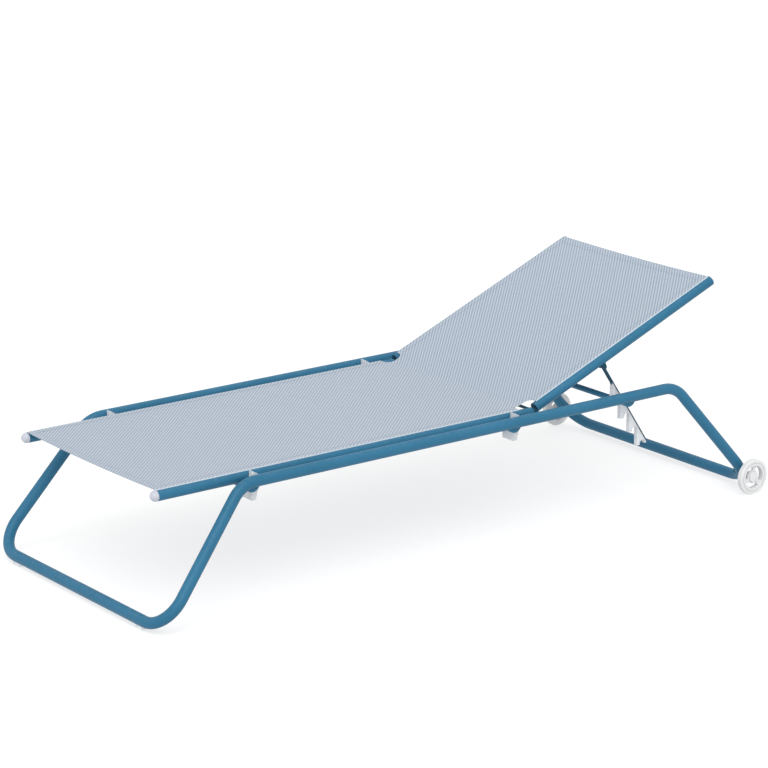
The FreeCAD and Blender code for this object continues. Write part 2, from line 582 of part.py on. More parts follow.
BLOCK_LOW = "(rail_height - block_drop)"
FIN_LOW = "(rail_height - fin_root)"
FIN_SIDE = "(rail_height + fin_step)"
FIN_TOP = "(rail_height + fin_rise)"
blocks = {"foot": [], "mid": []}
screws = []
for place in blocks:
    x = f"({CROSS_X[place]} + cross_od/2 + block_gap)"
    for side, sign in SIDES.items():
        name = f"block_{place}_{side}"
        outer = f"({RAIL_Y} - rail_od/2 - rail_clear)"
        start = f"({outer} - block_width)" if sign > 0 else f"-{outer}"
        gap_start = f"({outer} - side_slot + block_gap)" if sign > 0 else f"-{outer}"
        gap_width = "(side_slot - block_gap)"
        toe = wedge(name + "_toe", (x, f"{x} + block_toe"), (x, f"{x} + block_heel"), start,
                    "block_width", BLOCK_LOW, f"{BLOCK_LOW} + block_knee")
        fin_x = f"({x} + fin_shift)"
        fin_side = (fin_x, f"{fin_x} + block_fin")
        heel = wedge(name + "_heel", (x, f"{x} + block_heel"), fin_side, start,
                     "block_width", f"{BLOCK_LOW} + block_knee", FIN_LOW)
        fin = wedge(name + "_fin", fin_side, fin_side, gap_start, gap_width, FIN_LOW, FIN_SIDE)
        top = wedge(name + "_top", fin_side, (fin_x, f"{fin_x} + fin_edge"), gap_start,
                    gap_width, FIN_SIDE, FIN_TOP)
        hollow = box(name + "_hollow", ("2*block_fin", f"block_width - {gap_width}",
                                        "rail_height"),
                     (f"{x} - block_gap", start if sign > 0 else f"{start} + {gap_width}",
                      SLING_Z))
        hole_y = f"{sign}*{SLING_Y}"
        hole_x = f"({x} + block_toe/2)"
        shank = cylinder(name + "_shank", "screw_od/2", "screw_length",
                         (hole_x, hole_y, f"{SLING_Z} - sling_od/2 - screw_length"), "Z")
        well = cylinder(name + "_well", "screw_head_od/2", "rail_height",
                        (hole_x, hole_y,
                         f"{SLING_Z} - sling_od/2 - screw_length - rail_height"), "Z")
        solid = fuse(name + "_solid", [toe, heel, fin, top])
        blocks[place].append(cut(name, solid, hollow, seat_skins[0 if sign < 0 else 1],
                                 OUTLINES[place], shank, well))
        head = cylinder(name + "_head", "screw_head_od/2", "screw_head",
                        (hole_x, hole_y,
                         f"{SLING_Z} - sling_od/2 - screw_length - screw_head"), "Z")
        body = cylinder(name + "_screw", "screw_od/2", "screw_length",
                        (hole_x, hole_y, f"{SLING_Z} - sling_od/2 - screw_length"), "Z")
        screws.append(cut(name + "_screw_cut", fuse(name + "_screw_solid", [head, body]),
                          seat_skins[0 if sign < 0 else 1]))
    piece(group(f"blocks_{place}", blocks[place]), f"spacer_blocks_{place}")
piece(group("screws", screws), "block_screws")

# --- foot glides ------------------------------------------------------------------------------

glides = []
for side, sign in SIDES.items():
    pad = box(f"glide_pad_{side}", ("glide_width", "glide_length", "foot_clear + glide_wrap"),
              (f"-{CENTRE} - glide_width/2", f"{sign}*{GLIDE_Y} - glide_length/2", 0))
    glides.append(cut(f"glide_{side}", pad, foot_outline))
piece(group("glides", glides), "foot_glides")

# --- wheels and axles -------------------------------------------------------------------------

AXLE_Z = "wheel_od/2"
WHEEL_IN = f"({WHEEL_Y} - wheel_width/2)"
WHEEL_OUT = f"({WHEEL_Y} + wheel_width/2)"
WASHER_IN = f"({WHEEL_IN} - washer_thick - washer_gap)"
axles = []
bosses = []
washers = []
retainers = []
for side, sign in SIDES.items():
    boss = outward(f"boss_{side}", "boss_od/2", AXLE_IN, WASHER_IN, AXLE_X, AXLE_Z, sign)
    bore = outward(f"boss_bore_{side}", "axle_od/2", f"{AXLE_IN} - axle_od", WHEEL_OUT, AXLE_X,
                   AXLE_Z, sign)
    bosses.append(cut(f"boss_cut_{side}", boss, bore, head_outline))
    axles.append(outward(f"axle_{side}", "axle_od/2", AXLE_IN, AXLE_OUT, AXLE_X, AXLE_Z, sign))
    washer = outward(f"washer_{side}", "washer_od/2", WASHER_IN, f"{WASHER_IN} + washer_thick",
                     AXLE_X, AXLE_Z, sign)
    washers.append(cut(f"washer_cut_{side}", washer, bore))
    seat = f"({HUB_OUT} - hub_pocket + washer_gap)"
    ring = outward(f"retainer_{side}", "retainer_od/2", seat, f"{seat} + retainer_thick", AXLE_X,
                   AXLE_Z, sign)
    hole = outward(f"retainer_hole_{side}", "axle_od/2", WHEEL_IN, f"{WHEEL_OUT} + axle_od", AXLE_X,
                   AXLE_Z, sign)
    retainers.append(cut(f"retainer_cut_{side}", ring, hole))
piece(group("axles", axles), "wheel_axles")
piece(group("bosses", bosses), "axle_bosses")
piece(group("washers", washers), "axle_washers")
piece(group("retainers", retainers), "axle_retainers")


def sector(name, inner, outer, turn, angle, length):
    """A pie slice of a ring about Z, for a window through the wheel's web."""
    whole = doc.addObject("Part::Cylinder", name + "_whole")
    core = doc.addObject("Part::Cylinder", name + "_core")
    for obj, radius in ((whole, outer), (core, inner)):
        obj.setExpression("Radius", bound(radius))
        obj.setExpression("Height", bound(length))
        obj.setExpression("Angle", bound(angle))
        move(obj, (0, 0, f"-({length})/2"), (0, 0, 1), turn)
    return cut(name, whole, core)


for side, sign in SIDES.items():
    name = f"wheel_{side}"
    tread = doc.addObject("Part::Cylinder", name + "_tread")
    tread.setExpression("Radius", bound("wheel_od/2"))
    tread.setExpression("Height", bound("wheel_width"))
    move(tread, (0, 0, "-wheel_width/2"))
    rounded = rounded_ends(name + "_rounded", tread, "wheel_round")
    tools = []
    for face, z in enumerate(("wheel_width/2 - wheel_dish",
                              "-wheel_width/2 - cut_spare")):
        dish = cylinder(f"{name}_dish_{face}", "wheel_od/2 - wheel_rim", "wheel_dish + cut_spare",
                        (0, 0, z), "Z")
        hub = cylinder(f"{name}_hub_{face}", "wheel_hub_od/2", "wheel_dish + cut_spare",
                       (0, 0, z), "Z")
        tools.append(cut(f"{name}_recess_{face}", dish, hub))
    tools.append(cylinder(f"{name}_hub_front", "wheel_hub_od/2", "hub_drop + cut_spare",
                          (0, 0, "wheel_width/2 - hub_drop"), "Z"))
    groove_z = "wheel_width/2 - rim_groove_depth"
    groove = cylinder(f"{name}_groove_out", "rim_groove_at + rim_groove", "wheel_width",
                      (0, 0, groove_z), "Z")
    ridge = cylinder(f"{name}_groove_in", "rim_groove_at", "wheel_width", (0, 0, groove_z), "Z")
    tools.append(cut(f"{name}_groove", groove, ridge))
    for k in range(int(size("window_count"))):
        tools.append(sector(f"{name}_window_{k}", "window_inner", "window_outer",
                            f"window_start + {k}*360/window_count", "window_angle",
                            "2*wheel_width"))
    tools.append(cylinder(name + "_bore", "axle_od/2 + running_fit", "2*wheel_width",
                          (0, 0, "-wheel_width"), "Z"))
    tools.append(cylinder(name + "_pocket", "hub_pocket_od/2", "wheel_width",
                          (0, 0, "wheel_width/2 - hub_drop - hub_pocket"), "Z"))
    wheel = cut(name + "_solid", rounded, *tools)
    wheel.Placement.Rotation = FreeCAD.Rotation(V(1, 0, 0), -90 * sign)
    move(wheel, (AXLE_X, f"{sign}*{WHEEL_Y}", AXLE_Z))
    piece(wheel, name)

    plate = cylinder(name + "_cap_plate", "hub_cap_od/2", "hub_cap_height",
                     (0, 0, "wheel_width/2 - hub_drop"), "Z")
    plug = cylinder(name + "_cap_plug", "hub_pocket_od/2 - running_fit", "hub_pocket/3",
                    (0, 0, "wheel_width/2 - hub_drop - hub_pocket/3"), "Z")
    cap = fuse(name + "_cap", [plate, plug])
    cap.Placement.Rotation = FreeCAD.Rotation(V(1, 0, 0), -90 * sign)
    move(cap, (AXLE_X, f"{sign}*{WHEEL_Y}", AXLE_Z))
    piece(cap, f"hub_cap_{side}")

# --- checks and export ------------------------------------------------------------------------

doc.recompute()
for obj in doc.Objects:
    if "Invalid" in obj.State or "Error" in obj.State:
        raise RuntimeError(f"{obj.Label} failed: {obj.State}")
for obj in pieces:
    if obj.Shape.isNull() or not obj.Shape.isValid() or not obj.Shape.Solids:
        raise RuntimeError(f"{obj.Label} has no valid shape")

os.makedirs("parts", exist_ok=True)
total = FreeCAD.BoundBox()
for obj in pieces:
    obj.Shape.exportStep(f"parts/{obj.Label}.step")
    total.add(obj.Shape.BoundBox)
    print(obj.Label, len(obj.Shape.Solids), "solids", round(obj.Shape.Volume), "mm3")
print("box", [round(v, 2) for v in (total.XMin, total.XMax, total.YMin, total.YMax, total.ZMin,
                                    total.ZMax)], len(pieces), "nodes")
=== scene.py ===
import json
import math

import bmesh
import bpy
import numpy as np
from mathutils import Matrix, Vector

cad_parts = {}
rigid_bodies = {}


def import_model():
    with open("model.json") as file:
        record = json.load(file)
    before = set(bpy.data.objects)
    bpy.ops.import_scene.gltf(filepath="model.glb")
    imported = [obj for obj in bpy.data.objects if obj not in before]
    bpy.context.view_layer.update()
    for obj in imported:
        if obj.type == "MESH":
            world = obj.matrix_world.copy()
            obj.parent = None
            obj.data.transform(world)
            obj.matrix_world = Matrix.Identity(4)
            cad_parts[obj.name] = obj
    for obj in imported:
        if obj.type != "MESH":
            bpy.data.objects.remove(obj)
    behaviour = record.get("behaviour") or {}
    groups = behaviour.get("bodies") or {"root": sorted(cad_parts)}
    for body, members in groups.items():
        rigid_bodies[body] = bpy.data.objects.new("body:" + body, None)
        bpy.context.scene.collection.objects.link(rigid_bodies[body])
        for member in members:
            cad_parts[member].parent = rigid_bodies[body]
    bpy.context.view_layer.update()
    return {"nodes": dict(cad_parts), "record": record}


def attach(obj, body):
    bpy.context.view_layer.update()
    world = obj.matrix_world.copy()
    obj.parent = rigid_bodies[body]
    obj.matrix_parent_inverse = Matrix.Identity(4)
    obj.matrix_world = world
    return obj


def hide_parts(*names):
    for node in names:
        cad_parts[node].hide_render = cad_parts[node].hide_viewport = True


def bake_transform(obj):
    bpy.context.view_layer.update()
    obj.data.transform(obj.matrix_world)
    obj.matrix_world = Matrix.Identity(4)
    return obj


for spare in list(bpy.data.objects):
    bpy.data.objects.remove(spare)

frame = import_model()
nodes = frame["nodes"]
bodyOf = {node: body for body, members in frame["record"]["behaviour"]["bodies"].items()
          for node in members}
mm = 0.001


def meshObject(name, points, faces, material=None, steps=()):
    mesh = bpy.data.meshes.new(name)
    mesh.from_pydata(points, steps, faces)
    mesh.update()
    obj = bpy.data.objects.new(name, mesh)
    bpy.context.scene.collection.objects.link(obj)
    if material:
        mesh.materials.append(material)
    return obj


def smooth(obj, degrees):
    obj.data.polygons.foreach_set("use_smooth", [True] * len(obj.data.polygons))
    obj.data.set_sharp_from_angle(angle=math.radians(degrees))


# the evaluated shape becomes the object's own plain mesh, with no modifier left
def settle(obj):
    graph = bpy.context.evaluated_depsgraph_get()
    mesh = bpy.data.meshes.new_from_object(obj.evaluated_get(graph))
    obj.modifiers.clear()
    obj.data = mesh


# both ends, the direction and the radius of a straight tube, from its own mesh
def tubeLine(node):
    points = np.array([v.co for v in nodes[node].data.vertices])
    middle = (points.min(0) + points.max(0)) / 2
    direction = np.linalg.svd(points - points.mean(0), full_matrices=False)[2][0]
    direction = direction * (1 if direction[0] > 0 else -1)
    along = (points - middle) @ direction
    off = (points - middle) - np.outer(along, direction)
    centre = middle + (off.max(0) + off.min(0)) / 2
    return (Vector(centre + direction * along.min()), Vector(centre + direction * along.max()),
            Vector(direction), float(np.linalg.norm(off - (centre - middle), axis=1).max()))


def newGroup(name, inputs, outputs):
    tree = bpy.data.node_groups.new(name, "ShaderNodeTree")
    for label, kind, value in inputs:
        socket = tree.interface.new_socket(name=label, in_out="INPUT", socket_type=kind)
        if value is not None:
            socket.default_value = value
    for label, kind in outputs:
        tree.interface.new_socket(name=label, in_out="OUTPUT", socket_type=kind)
    return tree, tree.nodes.new("NodeGroupInput"), tree.nodes.new("NodeGroupOutput")


# a link where another node's output comes in, and a fixed value otherwise
def feed(tree, socket, value):
    if hasattr(value, "is_linked"):
        tree.links.new(value, socket)
    else:
        socket.default_value = value


def mathNode(tree, operation, *values, clamp=False):
    node = tree.nodes.new("ShaderNodeMath")
    node.operation = operation
    node.use_clamp = clamp
    for socket, value in zip(node.inputs, values):
        feed(tree, socket, value)
    return node.outputs[0]


def noiseNode(tree, vector, scale, detail=2.0, roughness=0.5):
    node = tree.nodes.new("ShaderNodeTexNoise")
    feed(tree, node.inputs["Vector"], vector)
    feed(tree, node.inputs["Scale"], scale)
    feed(tree, node.inputs["Detail"], detail)
    feed(tree, node.inputs["Roughness"], roughness)
    return node.outputs["Fac"]


# 0 below low, 1 above high, with a soft step between
def rampNode(tree, value, low, high):
    node = tree.nodes.new("ShaderNodeMapRange")
    node.interpolation_type = "SMOOTHSTEP"
    feed(tree, node.inputs["Value"], value)
    feed(tree, node.inputs["From Min"], low)
    feed(tree, node.inputs["From Max"], high)
    return node.outputs["Result"]


def mixNode(tree, factor, a, b):
    node = tree.nodes.new("ShaderNodeMix")
    node.data_type = "RGBA"
    for place, value in ((0, factor), (6, a), (7, b)):  # a colour mix's own three inputs
        feed(tree, node.inputs[place], value)
    return node.outputs[2]


def groupNode(tree, group, values):
    node = tree.nodes.new("ShaderNodeGroup")
    node.node_tree = group
    for label, value in values.items():
        feed(tree, node.inputs[label], value)
    return node


def bumpNode(tree, height, strength, distance):
    node = tree.nodes.new("ShaderNodeBump")
    feed(tree, node.inputs["Strength"], strength)
    feed(tree, node.inputs["Distance"], distance)
    feed(tree, node.inputs["Height"], height)
    return node.outputs["Normal"]


def newMaterial(name):
    material = bpy.data.materials.new(name)
    material.use_nodes = True
    tree = material.node_tree
    return material, tree, tree.nodes["Principled BSDF"]


grit = {  # how every finish mixes its grain, its tone and its dust
    "fineDetail": 3.0, "fineRough": 0.55, "fineShare": 0.6,
    "coarseScale": 0.3, "coarseShare": 0.4,  # against the fine grain
    "toneDetail": 4.0, "toneRough": 0.6, "toneRamp": (0.3, 0.7),
    "speckScale": 90.0, "speckDetail": 5.0, "speckRough": 0.7, "speckRamp": (0.42, 0.75),
    "upwardRamp": (0.2, 1.0),  # dust settles on what faces up
    "dustRough": 0.3, "dustColor": (0.6, 0.6, 0.58, 1),
}


# fine texture, broad tone and a little dust, shared by paint, steel and plastic
def makeFinishGroup():
    tree, start, end = newGroup(
        "surfaceFinish",
        [("Vector", "NodeSocketVector", None), ("Grain Scale", "NodeSocketFloat", 500.0),
         ("Tone Scale", "NodeSocketFloat", 6.0), ("Dust", "NodeSocketFloat", 0.2)],
        [("Grain", "NodeSocketFloat"), ("Tone", "NodeSocketFloat"), ("Dust", "NodeSocketFloat")])
    vector = start.outputs["Vector"]
    scale = start.outputs["Grain Scale"]
    fine = noiseNode(tree, vector, scale, grit["fineDetail"], grit["fineRough"])
    coarse = noiseNode(tree, vector, mathNode(tree, "MULTIPLY", scale, grit["coarseScale"]))
    grain = mathNode(tree, "ADD", mathNode(tree, "MULTIPLY", fine, grit["fineShare"]),
                     mathNode(tree, "MULTIPLY", coarse, grit["coarseShare"]))
    tone = noiseNode(tree, vector, start.outputs["Tone Scale"], grit["toneDetail"],
                     grit["toneRough"])
    normal = tree.nodes.new("ShaderNodeNewGeometry")
    split = tree.nodes.new("ShaderNodeSeparateXYZ")
    tree.links.new(normal.outputs["Normal"], split.inputs[0])
    upward = rampNode(tree, split.outputs["Z"], *grit["upwardRamp"])
    specks = noiseNode(tree, vector, grit["speckScale"], grit["speckDetail"], grit["speckRough"])
    specks = rampNode(tree, specks, *grit["speckRamp"])
    dust = mathNode(tree, "MULTIPLY", mathNode(tree, "MULTIPLY", upward, specks),
                    start.outputs["Dust"])
    for socket, value in (("Grain", grain), ("Tone", tone), ("Dust", dust)):
        tree.links.new(value, end.inputs[socket])
    return tree


# two colours and a pale dust, blended by tone and dust
def makeMixGroup():
    tree, start, end = newGroup(
        "tonedColor",
        [("Low", "NodeSocketColor", (0, 0, 0, 1)), ("High", "NodeSocketColor", (1, 1, 1, 1)),
         ("Dust Color", "NodeSocketColor", grit["dustColor"]), ("Tone", "NodeSocketFloat", 0.5),
         ("Dust", "NodeSocketFloat", 0.0)],
        [("Color", "NodeSocketColor")])
    share = rampNode(tree, start.outputs["Tone"], *grit["toneRamp"])
    toned = mixNode(tree, share, start.outputs["Low"], start.outputs["High"])
    dusted = mixNode(tree, start.outputs["Dust"], toned, start.outputs["Dust Color"])
    tree.links.new(dusted, end.inputs["Color"])
    return tree


finishGroup = makeFinishGroup()
mixGroup = makeMixGroup()


# a painted, metal or moulded surface from one dictionary of values
def finishMaterial(name, look):
    material, tree, shader = newMaterial(name)
    coords = tree.nodes.new("ShaderNodeTexCoord").outputs["Object"]
    finish = groupNode(tree, finishGroup, {"Vector": coords, "Grain Scale": look["grainScale"],
                                           "Tone Scale": look["toneScale"], "Dust": look["dust"]})
    tone = finish.outputs["Tone"]
    dust = finish.outputs["Dust"]
    color = groupNode(tree, mixGroup, {"Low": (*look["low"], 1), "High": (*look["high"], 1),
                                       "Tone": tone, "Dust": dust})
    tree.links.new(color.outputs["Color"], shader.inputs["Base Color"])
    rough = mathNode(tree, "MULTIPLY_ADD", tone, look["roughSpread"],
                     look["rough"] - look["roughSpread"] / 2)
    rough = mathNode(tree, "ADD", rough, mathNode(tree, "MULTIPLY", dust, grit["dustRough"]),
                     clamp=True)
    tree.links.new(rough, shader.inputs["Roughness"])
    tree.links.new(bumpNode(tree, finish.outputs["Grain"], look["bump"], look["bumpDepth"]),
                   shader.inputs["Normal"])
    for label, value in look.get("shader", {}).items():
        shader.inputs[label].default_value = value
    return material


finishLooks = {
    "framePaint": {"low": (0.021, 0.117, 0.204), "high": (0.025, 0.131, 0.228), "grainScale": 900,
                   "toneScale": 5, "dust": 0.05, "rough": 0.42, "roughSpread": 0.1, "bump": 0.16,
                   "bumpDepth": 0.2 * mm, "shader": {"Specular IOR Level": 0.16}},
    "rodPaint": {"low": (0.009, 0.046, 0.078), "high": (0.012, 0.058, 0.096), "grainScale": 1100,
                 "toneScale": 9, "dust": 0.04, "rough": 0.4, "roughSpread": 0.12, "bump": 0.14,
                 "bumpDepth": 0.2 * mm, "shader": {"Specular IOR Level": 0.2}},
    "zincSteel": {"low": (0.50, 0.51, 0.52), "high": (0.66, 0.67, 0.68), "grainScale": 1500,
                  "toneScale": 60, "dust": 0.05, "rough": 0.34, "roughSpread": 0.2, "bump": 0.1,
                  "bumpDepth": 0.1 * mm, "shader": {"Metallic": 1.0}},
    "frostedNylon": {"low": (0.74, 0.77, 0.80), "high": (0.80, 0.82, 0.85), "grainScale": 1800,
                     "toneScale": 14, "dust": 0.04, "rough": 0.42, "roughSpread": 0.1,
                     "bump": 0.12, "bumpDepth": 0.1 * mm,
                     "shader": {"Transmission Weight": 0.35, "IOR": 1.46}},
    # a darker, bluer copy of the frosted plastic for the foot end caps: painted shade on their
    # domes
    "endCapPaintedShade": {"low": (0.52, 0.55, 0.62), "high": (0.60, 0.63, 0.70), "grainScale": 1800,
               "toneScale": 14, "dust": 0.03, "rough": 0.4, "roughSpread": 0.1, "bump": 0.12,
               "bumpDepth": 0.1 * mm, "shader": {"Transmission Weight": 0.3, "IOR": 1.46}},
    "seamThread": {"low": (0.27, 0.315, 0.37), "high": (0.33, 0.375, 0.43), "grainScale": 1500,
                   "toneScale": 30, "dust": 0.0, "rough": 0.6, "roughSpread": 0.1, "bump": 0.1,
                   "bumpDepth": 0.1 * mm, "shader": {"Specular IOR Level": 0.2}},
    "wheelPlastic": {"low": (0.57, 0.575, 0.58), "high": (0.62, 0.625, 0.63), "grainScale": 1300,
                     "toneScale": 20, "dust": 0.06, "rough": 0.38, "roughSpread": 0.12,
                     "bump": 0.12, "bumpDepth": 0.1 * mm},
    "beadCord": {"low": (0.60, 0.60, 0.57), "high": (0.68, 0.68, 0.65), "grainScale": 1500,
                 "toneScale": 20, "dust": 0.0, "rough": 0.5, "roughSpread": 0.1, "bump": 0.1,
                 "bumpDepth": 0.1 * mm},
}
materials = {name: finishMaterial(name, look) for name, look in finishLooks.items()}

clothLook = {
    "warp": (0.41, 0.465, 0.535), "weft": (0.28, 0.33, 0.395), "line": (0.165, 0.205, 0.26),
    "pale": (0.43, 0.49, 0.54), "lineShare": 0.74,
    "yarn": 1.4 * mm,  # pitch of the threads
    "seatLines": 85.7, "backLines": 79.5, "acrossLines": 92.3,  # diagonal lines to the metre
    "lineRamp": (-0.35, 0.7), "threadRamp": (-0.35, 0.35), "lineSink": 0.5,
    "bump": 0.4, "bumpDepth": 0.3 * mm, "rough": 0.6, "sheen": 0.15, "specular": 0.3,
}


# coated mesh: crossing threads and the diagonal lines of the twill, on the cloth's own map
def clothMaterial(look):
    material, tree, shader = newMaterial("slingCloth")
    cloth = tree.nodes.new("ShaderNodeUVMap")
    cloth.uv_map = "cloth"
    split = tree.nodes.new("ShaderNodeSeparateXYZ")
    tree.links.new(cloth.outputs["UV"], split.inputs[0])
    along, across = split.outputs["X"], split.outputs["Y"]

    def wave(value, pitch):
        return mathNode(tree, "SINE", mathNode(tree, "MULTIPLY", value, 2 * math.pi / pitch))

    warp = mathNode(tree, "ABSOLUTE", wave(across, 2 * look["yarn"]))
    weft = mathNode(tree, "ABSOLUTE", wave(along, 2 * look["yarn"]))
    phase = mathNode(tree, "MULTIPLY", mathNode(tree, "MINIMUM", along, 0.0), look["seatLines"])
    phase = mathNode(tree, "MULTIPLY_ADD", mathNode(tree, "MAXIMUM", along, 0.0),
                     look["backLines"], phase)
    phase = mathNode(tree, "MULTIPLY_ADD", across, -look["acrossLines"], phase)
    line = rampNode(tree, wave(phase, 1.0), *look["lineRamp"])
    over = rampNode(tree, mathNode(tree, "SUBTRACT", warp, weft), *look["threadRamp"])
    threads = mixNode(tree, over, (*look["weft"], 1), (*look["warp"], 1))
    body = mixNode(tree, mathNode(tree, "MULTIPLY", line, look["lineShare"]), threads,
                   (*look["line"], 1))
    rim = tree.nodes.new("ShaderNodeAttribute")
    rim.attribute_name = "paleEdge"
    tree.links.new(mixNode(tree, rim.outputs["Fac"], body, (*look["pale"], 1)),
                   shader.inputs["Base Color"])
    height = mathNode(tree, "ADD", mathNode(tree, "MAXIMUM", warp, weft),
                      mathNode(tree, "MULTIPLY", line, -look["lineSink"]))
    tree.links.new(bumpNode(tree, height, look["bump"], look["bumpDepth"]),
                   shader.inputs["Normal"])
    shader.inputs["Roughness"].default_value = look["rough"]
    shader.inputs["Sheen Weight"].default_value = look["sheen"]
    shader.inputs["Specular IOR Level"].default_value = look["specular"]
    return material


materials["slingCloth"] = clothMaterial(clothLook)

slotLooks = {"frame_paint": "framePaint", "dark_steel": "rodPaint", "bright_steel": "zincSteel",
             "frosted_plastic": "frostedNylon", "wheel_plastic": "wheelPlastic",
             "hem_bead": "beadCord", "sling_mesh": "slingCloth"}
darkened = {node: "dark_steel" for node in ("prop_lugs", "pivot_clips", "hinge_nuts")}
slotOf = {row["node"]: row["material_slot"] for row in frame["record"]["subparts"]}
slotOf.update(darkened)
for node, obj in nodes.items():
    # the foot end caps take the darker copy of the frosted plastic, which is painted shade
    look = "endCapPaintedShade" if node == "foot_end_caps" else slotLooks[slotOf[node]]
    obj.material_slots[0].material = materials[look]
print("materials done")


sling = {
    "thick": 0.9 * mm, "hemThick": 1.7 * mm, "hemSide": 24 * mm, "hemEnd": 26 * mm,
    "gap": 0.35 * mm,  # the cloth's underside over the tube's top
    "shoulder": 1.6 * mm, "tuck": 5 * mm,  # the bend into the slot, and what goes down it
    "shoulderOut": 0.3 * mm,  # the bend's end past the tube's middle
    "sag": 5 * mm, "foldRadius": 45 * mm,
    "notchSeat": 24 * mm, "notchBack": 38 * mm,  # the notch each way from the fold
    "notchDepth": 30 * mm, "notchPower": 3.2, "notchRim": 8 * mm, "paleRim": 1.3 * mm,
    "footInset": 1 * mm, "headInset": 6 * mm,
    "step": 9 * mm, "notchColumns": 49,  # columns lie across the cloth
    "clothRows": 24, "hemRows": 4, "slotRows": 12, "slotBand": 9 * mm,  # rows lie along it
    "endStep": 0.5 * mm, "sideStep": 0.002,  # where the hems thicken, the second as a share
    "endSlack": 0.2 * mm, "sideSlack": 0.1 * mm, "cutLeast": 1 * mm, "tuckedBelow": 0.5 * mm,
    "smoothAngle": 50,
}

seatStart, _, _, tubeRadius = tubeLine("seat_rail_near")
backStart, backEnd, backWay, _ = tubeLine("back_rail_near")
halfGap = -seatStart.y  # from the middle to a sling tube's centre
backAngle = math.atan2(backWay.z, backWay.x)
meetX = backStart.x - (backStart.z - seatStart.z) / math.tan(backAngle)
fold = Vector((meetX, 0, seatStart.z))  # where the seat's and the backrest's centre lines meet
fullHalf = halfGap - sling["shoulder"] + sling["shoulder"] * math.pi / 2 + sling["tuck"]
footReach = (seatStart.x + sling["footInset"]) - fold.x
headReach = (backEnd - Vector((fold.x, backEnd.y, fold.z))).length - sling["headInset"]


# a point of the middle line, so far from the fold and so high over the cloth's underside
def slingPath(distance, height):
    radius = sling["foldRadius"]
    reach = radius * math.tan(backAngle / 2)
    halfArc = radius * backAngle / 2
    backNormal = Vector((-math.sin(backAngle), 0, math.cos(backAngle)))
    base = tubeRadius + sling["gap"]
    corner = fold + Vector((-base * math.tan(backAngle / 2), 0, base))
    if distance <= -halfArc:
        return corner + Vector((distance + halfArc - reach, 0, height))
    if distance >= halfArc:
        return corner + backWay * (distance - halfArc + reach) + backNormal * height
    turn = (distance + halfArc) / radius
    centre = corner + Vector((-reach, 0, radius))
    outward = Vector((math.sin(turn), 0, -math.cos(turn)))
    return centre + outward * (radius - height)


# where a point so far from the middle, measured along the cloth, lies across and up
def slingAcross(flat):
    bend = sling["shoulder"]
    level = halfGap - bend + sling["shoulderOut"]
    side = 1 if flat >= 0 else -1
    flat = abs(flat)
    if flat <= level:
        return side * flat, 0.0
    turn = (flat - level) / bend
    if turn < math.pi / 2:
        return side * (level + bend * math.sin(turn)), bend * (math.cos(turn) - 1)
    return side * (level + bend), -bend - (flat - level - bend * math.pi / 2)


def sagAt(flat):
    return sling["sag"] * max(0.0, 1 - (abs(flat) / halfGap) ** 2)


# distances along the cloth and its half width there, closer together round the notch
def slingColumns():
    low, high = -sling["notchSeat"], sling["notchBack"]
    footHem = footReach + sling["hemEnd"]
    headHem = headReach - sling["hemEnd"]
    seatCount = int((low - footReach) / sling["step"])
    seat = [footReach, footHem - sling["endStep"], *np.linspace(footHem, low, seatCount)[:-1]]
    columns = [(distance, fullHalf) for distance in seat]
    middle, half = (low + high) / 2, (high - low) / 2
    power = 2 / sling["notchPower"]
    deep = sling["notchDepth"] + fullHalf - halfGap
    for angle in np.linspace(math.pi, 0, sling["notchColumns"]):
        c, s = math.cos(angle), math.sin(angle)
        along = middle + half * math.copysign(abs(c) ** power, c)
        columns.append((along, fullHalf - deep * abs(s) ** power))
    backCount = int((headReach - high) / sling["step"])
    back = [*np.linspace(high, headHem, backCount)[1:], headHem + sling["endStep"], headReach]
    return columns + [(distance, fullHalf) for distance in back]


# shares of the half width, from edge to edge, closer together at the hem and the slot
def slingRows():
    hem = 1 - (sling["hemSide"] + fullHalf - halfGap) / fullHalf
    slot = 1 - sling["slotBand"] / fullHalf
    wide = [*np.linspace(0, hem - sling["sideStep"], sling["clothRows"]), hem]
    wide += list(np.linspace(hem, slot, sling["hemRows"]))[1:]
    wide += list(np.linspace(slot, 1, sling["slotRows"]))[1:]
    return [-w for w in reversed(wide[1:])] + wide


# an upper and a lower grid of count by width points, and the edges that join them
def shellFaces(count, width):
    under = count * width
    faces = []
    for i in range(count - 1):
        for j in range(width - 1):
            a = i * width + j
            b, c, d = a + width, a + width + 1, a + 1
            faces.append((a, b, c, d))
            faces.append((under + a, under + d, under + c, under + b))
    for i in range(count - 1):  # the long edges
        a, b = i * width, (i + 1) * width
        faces.append((a, under + a, under + b, b))
        a, b = a + width - 1, b + width - 1
        faces.append((a, b, under + b, under + a))
    for j in range(width - 1):  # the foot and head edges
        a, b = j, j + 1
        faces.append((a, b, under + b, under + a))
        a, b = (count - 1) * width + j, (count - 1) * width + j + 1
        faces.append((a, under + a, under + b, b))
    return faces


